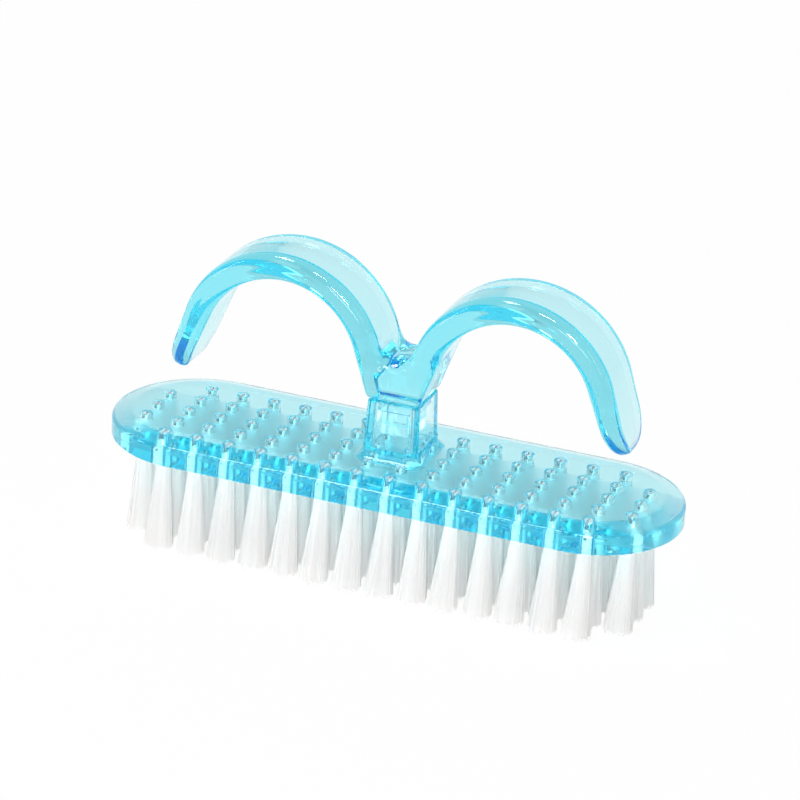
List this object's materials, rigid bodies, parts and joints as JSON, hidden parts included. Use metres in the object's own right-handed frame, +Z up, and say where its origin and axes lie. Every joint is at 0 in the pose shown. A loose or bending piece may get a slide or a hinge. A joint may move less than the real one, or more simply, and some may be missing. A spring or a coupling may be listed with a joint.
{
  "type": "nail dust brush",
  "caption": "Oblong nail dust brush in clear blue plastic with white bristles and a finger handle of twin arches pressed into a hollow post.",
  "frame": {"origin": "on the floor under the middle of the back, where the bristle tips stand", "axes": "+X along the back, +Y across it, +Z up through the handle"},
  "size_m": [0.096, 0.03, 0.0519],
  "materials": {
    "clear_blue_plastic": "clear, moulded, glossy",
    "white_nylon": "satin filaments"
  },
  "bodies": {
    "root": {"brush_back": "clear_blue_plastic", "finger_handle": "clear_blue_plastic", "tuft_column_01": "white_nylon", "tuft_column_02": "white_nylon", "tuft_column_03": "white_nylon", "tuft_column_04": "white_nylon", "tuft_column_05": "white_nylon", "tuft_column_06": "white_nylon", "tuft_column_07": "white_nylon", "tuft_column_08": "white_nylon", "tuft_column_09": "white_nylon", "tuft_column_10": "white_nylon", "tuft_column_11": "white_nylon", "tuft_column_12": "white_nylon", "tuft_column_13": "white_nylon", "tuft_column_14": "white_nylon", "tuft_column_15": "white_nylon", "tuft_column_16": "white_nylon"}
  },
  "joints": []
}
